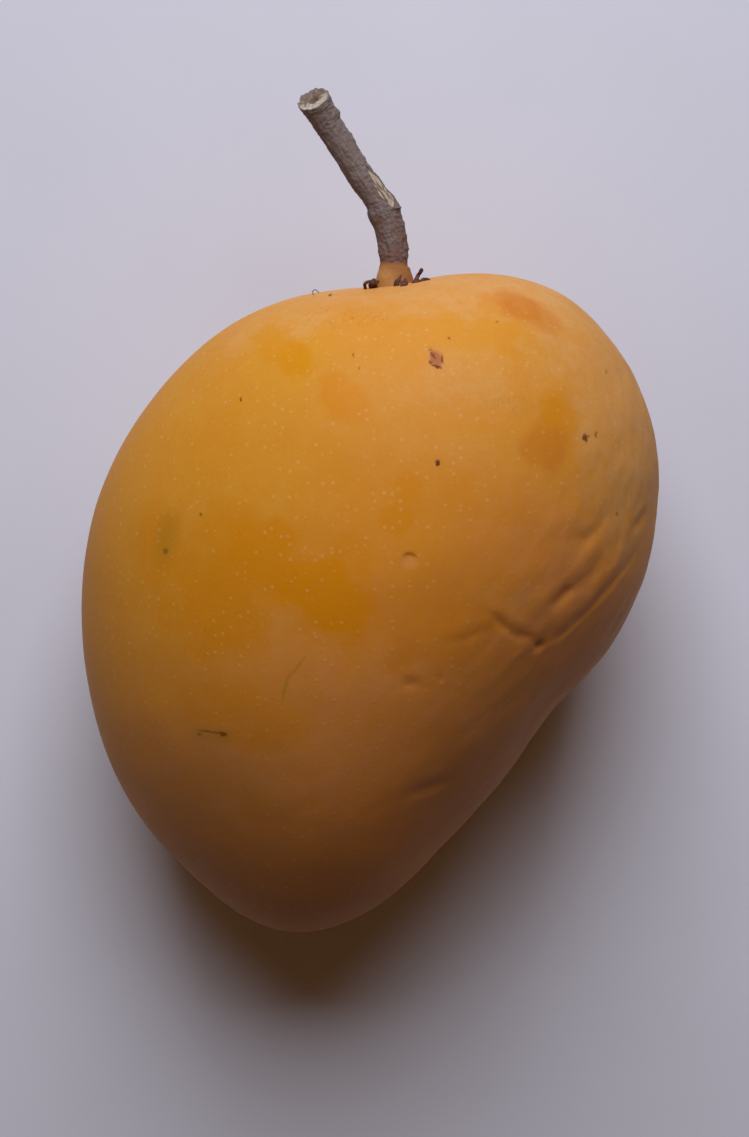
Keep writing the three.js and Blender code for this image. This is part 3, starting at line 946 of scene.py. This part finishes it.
def skin_ground(nodes, bloom, cloudy, fine):
    """The skin's colours without its dots and marks, with painted shade in its folds."""
    ground = nodes.mix(nodes.fade(nodes.attribute("yellow"), 0.82, 1.0), AMBER, GOLD)
    powder = nodes.mix(mottled(nodes, "yellow", cloudy, 0.5, 0.9), BLOOM, OCHRE)
    powder = nodes.mix(mottled(nodes, "warm", cloudy, 0.75, 1.0), powder, BLOOM_WARM)
    # Paler bloom, and a painted sheen along the top edge.
    powder = nodes.mix(mottled(nodes, "bloom_and_sheen", cloudy, 0.6, 1.0), powder, PALE_BLOOM_AND_SHEEN)
    base = nodes.mix(bloom, ground, powder)
    base = nodes.mix(mottled(nodes, "orange", cloudy, 0.55, 0.95), base, DEEP_ORANGE)
    base = nodes.mix(nodes.fade(fine, 0.3, 0.75, 0.0, 0.14), base, DEEP_ORANGE)
    # Painted shade: a duller, darker orange at the tip and under the belly.
    base = nodes.mix(nodes.attribute("painted_shade"), base, PAINTED_SHADE_ORANGE)
    # Painted shade: the skin darkened where the folds sink it.
    return nodes.mix(nodes.maths("MULTIPLY", nodes.attribute("fold"), 0.3), base, FOLD_SHADE)


def skin_spots(nodes, place, base, dots, to_row):
    """The skin's colours with its pale dots, pores, hair cracks and single marks on them."""
    shown = nodes.fade(nodes.attribute("warm"), 0.0, 1.0, 0.5, 0.2)
    base = nodes.mix(nodes.maths("MULTIPLY", dots, shown), base, PALE_DOT)
    pores = scattered(nodes, place, 3.4, 0.17, 0.35)
    base = nodes.mix(nodes.maths("MULTIPLY", pores, 0.4), base, CORK_CRACK)
    crazed = nodes.maths("MULTIPLY", nodes.attribute("crazed"), hair_lines(nodes, place, 2.6, 0.018))
    base = nodes.mix(nodes.maths("MULTIPLY", crazed, 0.2), base, CORK_CRACK)
    seat = dict(at=STALK_STATIONS[STALK_FOOT, :3], size=(3.3, 3.3), turn=0, share=0.2, edge=0.2)
    base = nodes.mix(mark_mask(nodes, place, seat, to_row, depth=3.3), base, CORK)
    uneven = unevenly(nodes, place, 0.6, 0.75)
    for mark in MARKS:
        base = nodes.mix(mark_mask(nodes, uneven, mark, to_row), base, mark["colour"])
    return base


def skin_material(to_row):
    nodes = Nodes("waxy_mango_skin")
    place = nodes.millimetres()
    broad = nodes.noise(place, 14.0, detail=2.0)
    cloudy = nodes.noise(place, 2.6, detail=4.0, roughness=0.6)
    fine = nodes.noise(place, 0.5, detail=2.0)
    bloom = skin_bloom(nodes, broad, cloudy)
    dots = scattered(nodes, place, 1.25, 0.4, 0.05)
    base = skin_ground(nodes, bloom, cloudy, fine)
    rough = nodes.fade(bloom, 0.0, 1.0, 0.42, 0.56)
    grain = nodes.bump(fine, 0.02, 0.5)
    raised = nodes.bump(dots, 0.03, 0.6, under=grain)
    return nodes.shade(
        {
            "Base Color": skin_spots(nodes, place, base, dots, to_row),
            "Roughness": nodes.maths("ADD", rough, nodes.fade(fine, 0.2, 0.8, -0.03, 0.05)),
            "Normal": nodes.bump(cloudy, 0.07, 0.5, under=raised),
            "Specular IOR Level": 0.12,
            "Subsurface Weight": 0.06,
            "Subsurface Radius": (1.0, 0.4, 0.1),
            "Subsurface Scale": 2.0 * MM,
        }
    )


DRY_SHINE = 0.2
BARK_DARK = colour(0.085, 0.066, 0.064)
BARK_MID = colour(0.185, 0.148, 0.142)
BARK_PALE = colour(0.30, 0.255, 0.240)
BARK_GREY = colour(0.235, 0.195, 0.190)
BARK_RED = colour(0.18, 0.098, 0.080)
BARE_WOOD = colour(0.46, 0.38, 0.285)
CUT_WOOD = colour(0.46, 0.40, 0.32)
CUT_BROWN = colour(0.18, 0.130, 0.100)
WOOD_LINE = colour(0.13, 0.090, 0.070)
FOOT_OCHRE = colour(0.50, 0.250, 0.080)
FOOT_ORANGE = colour(0.33, 0.130, 0.042)
FOOT_BROWN = colour(0.22, 0.100, 0.060)
SCALE_DARK = colour(0.060, 0.035, 0.028)
SCALE_RED = colour(0.17, 0.050, 0.026)


def bark_colour(nodes, along, grain, crust, broad):
    """Ridged bark, greyer towards the cut end and redder towards the foot."""
    bark = nodes.mix(nodes.fade(crust, 0.3, 0.6, 0.25, 1.0), BARK_DARK, BARK_MID)
    bark = nodes.mix(nodes.fade(grain, 0.5, 0.72, 0.0, 0.7), bark, BARK_PALE)
    bark = nodes.mix(nodes.fade(grain, 0.45, 0.25, 0.0, 0.5), bark, BARK_DARK)
    bark = nodes.mix(nodes.fade(along, 44.0, 56.0, 0.0, 0.5), bark, BARK_GREY)
    low = nodes.fade(along, 52.0, 42.0, 0.15, 0.85)
    return nodes.mix(nodes.maths("MULTIPLY", low, nodes.fade(broad, 0.35, 0.6)), bark, BARK_RED)


def foot_colour(nodes, lean, crust):
    """The foot, ochre at its lower left and orange at its upper right, with brown specks."""
    foot = nodes.mix(nodes.fade(lean, 39.5, 43.0), FOOT_OCHRE, FOOT_ORANGE)
    return nodes.mix(nodes.fade(crust, 0.5, 0.75, 0.0, 0.4), foot, FOOT_BROWN)


def cut_colour(nodes, cut, crust):
    """The cut face: pale wood on the near side, brown specks, and a dark pith."""
    speckled = nodes.maths("ADD", nodes.attribute("pale"), nodes.fade(crust, 0.35, 0.65, 0.35, -0.35))
    face = nodes.mix(nodes.fade(speckled, 0.15, 0.55), CUT_BROWN, CUT_WOOD)
    return nodes.mix(nodes.fade(cut, 0.6, 0.8), face, WOOD_LINE)


def bark_material():
    nodes = Nodes("dry_stalk_bark")
    place = nodes.millimetres()
    torn, cut = nodes.attribute("torn"), nodes.attribute("cut")
    turned = {"Vector": place, "Rotation": (0, 0, math.radians(-35))}
    lengthwise = nodes.add("ShaderNodeMapping", turned).outputs[0]
    grain = nodes.noise(lengthwise, 0.3, detail=4.0, stretch=(1.0, 0.16, 1.0))
    crust = nodes.noise(place, 0.55, detail=5.0, roughness=0.65)
    broad = nodes.noise(place, 2.6, detail=2.0)
    parts = nodes.add("ShaderNodeSeparateXYZ", {0: place}).outputs
    lean = nodes.maths("ADD", parts["X"], parts["Y"])

    bark = bark_colour(nodes, parts["Y"], grain, crust, broad)
    ragged = nodes.maths("ADD", nodes.attribute("barky"), nodes.fade(crust, 0.3, 0.7, -0.25, 0.25))
    base = nodes.mix(nodes.fade(ragged, 0.0, 1.0), foot_colour(nodes, lean, crust), bark)
    wood = nodes.mix(nodes.fade(grain, 0.38, 0.54), WOOD_LINE, BARE_WOOD)
    wood = nodes.mix(nodes.fade(nodes.attribute("split"), 0.25, 0.7), wood, WOOD_LINE)
    edge = nodes.fade(nodes.maths("ABSOLUTE", nodes.maths("SUBTRACT", torn, 0.3)), 0.3, 0.1)
    base = nodes.mix(nodes.fade(torn, 0.3, 0.7), base, wood)
    base = nodes.mix(nodes.maths("MULTIPLY", edge, 0.6), base, BARK_DARK)
    base = nodes.mix(nodes.fade(cut, 0.06, 0.14), base, cut_colour(nodes, cut, crust))
    rough = nodes.bump(crust, 0.1, 0.8)
    return nodes.shade(
        {
            "Base Color": base,
            "Roughness": nodes.fade(crust, 0.3, 0.7, 0.92, 0.7),
            "Normal": nodes.bump(grain, 0.07, 0.7, under=rough),
            "Specular IOR Level": DRY_SHINE,
        }
    )


def scale_material(name, dark, light):
    nodes = Nodes(name)
    crust = nodes.noise(nodes.millimetres(), 0.5, detail=4.0, roughness=0.6)
    return nodes.shade(
        {
            "Base Color": nodes.mix(nodes.fade(crust, 0.4, 0.62), dark, light),
            "Roughness": nodes.fade(crust, 0.3, 0.7, 0.9, 0.7),
            "Normal": nodes.bump(crust, 0.08, 0.7),
            "Specular IOR Level": DRY_SHINE,
        }
    )


# The floor is pale round the fruit and darker far away, between two distances.
FLOOR_PALE = colour(0.695, 0.720, 0.85)
FLOOR_SHADE = colour(0.670, 0.695, 0.82)
FLOOR_FAR = colour(0.34, 0.35, 0.39)
FLOOR_FADE = (130.0, 450.0)
FLOOR_HALF_SIZE = 2.0


def floor_material():
    nodes = Nodes("pale_floor")
    place = nodes.millimetres()
    tone = nodes.noise(place, 60.0, detail=3.0)
    base = nodes.mix(nodes.fade(tone, 0.3, 0.7), FLOOR_SHADE, FLOOR_PALE)
    base = nodes.mix(nodes.fade(nodes.length(place), *FLOOR_FADE), base, FLOOR_FAR)
    return nodes.shade({"Base Color": base, "Roughness": 0.85, "Specular IOR Level": DRY_SHINE})


# The stage


def make_camera(centre):
    data = bpy.data.cameras.new("camera")
    data.sensor_width = SENSOR
    data.lens = SENSOR * CAMERA_HEIGHT * PIXELS_PER_MM / PICTURE[1]
    data.clip_start = 0.01
    camera = bpy.data.objects.new("camera", data)
    camera.location = Vector(centre) + Vector((*UNDER_CAMERA, CAMERA_HEIGHT)) * MM
    bpy.context.scene.collection.objects.link(camera)
    bpy.context.scene.camera = camera


def make_area_light(name, place, aim, size, power, tint):
    data = bpy.data.lights.new(name, "AREA")
    data.shape = "RECTANGLE"
    data.size, data.size_y = size
    data.energy = power
    data.color = tint
    light = bpy.data.objects.new(name, data)
    light.location = place
    light.rotation_euler = (Vector(aim) - Vector(place)).to_track_quat("-Z", "Y").to_euler()
    bpy.context.scene.collection.objects.link(light)


def make_stage(to_row):
    corners = np.array([(-1, -1, 0), (1, -1, 0), (1, 1, 0), (-1, 1, 0)], float)
    floor = make_mesh("floor", FLOOR_HALF_SIZE * corners, [(0, 1, 2, 3)])
    floor.data.materials.append(floor_material())
    place, aim = to_row(np.array([WINDOW_PLACE, WINDOW_AIM]))
    make_area_light("window", place, aim, WINDOW_SIZE, WINDOW_POWER, WINDOW_TINT)
    make_room()
    bpy.context.scene.view_settings.view_transform = "Standard"


def make_room():
    """A dim warm room that is brightest overhead and dark near the level of the floor."""
    world = bpy.data.worlds.new("room")
    world.use_nodes = True
    nodes, links = world.node_tree.nodes, world.node_tree.links
    background = nodes["Background"]
    background.inputs["Color"].default_value = (*ROOM_TINT, 1.0)
    height = nodes.new("ShaderNodeSeparateXYZ")
    links.new(nodes.new("ShaderNodeTexCoord").outputs["Generated"], height.inputs[0])
    overhead = nodes.new("ShaderNodeMapRange")
    limits = zip(("From Min", "From Max", "To Min", "To Max"), (*ROOM_FADE, HORIZON_LIGHT, ROOM_LIGHT))
    for name, value in limits:
        overhead.inputs[name].default_value = value
    links.new(height.outputs["Z"], overhead.inputs["Value"])
    links.new(overhead.outputs["Result"], background.inputs["Strength"])
    bpy.context.scene.world = world


def fruit_centre():
    """Where the fruit's own centre lies in the row's frame, in metres, from the CAD fruit's lowest corner."""
    low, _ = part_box("fruit")
    reach = coarse_skin.min(0)
    return np.array([low.x, low.y, low.z]) - np.array([reach[0], reach[1], LOWER_HEIGHT + REST_FLAT]) * MM


def build():
    centre = fruit_centre()

    def to_row(points):
        return points * MM + centre

    fruit = make_fruit(to_row)
    fruit.data.materials.append(skin_material(to_row))
    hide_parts("fruit")
    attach(fruit, "root")
    stalk = make_stalk(to_row)
    stalk.data.materials.append(bark_material())
    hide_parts("stalk")
    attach(stalk, "root")
    scales = make_scales("flower_scales", SCALES, to_row)
    scales.data.materials.append(scale_material("dry_scales", SCALE_DARK, SCALE_RED))
    fibre = make_scales("stray_fibre", [FIBRE], to_row)
    fibre.data.materials.append(scale_material("dry_fibre", SCALE_DARK, BARK_PALE))
    for piece in (scales, fibre):
        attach(piece, "root")
    make_camera(centre)
    make_stage(to_row)


build()
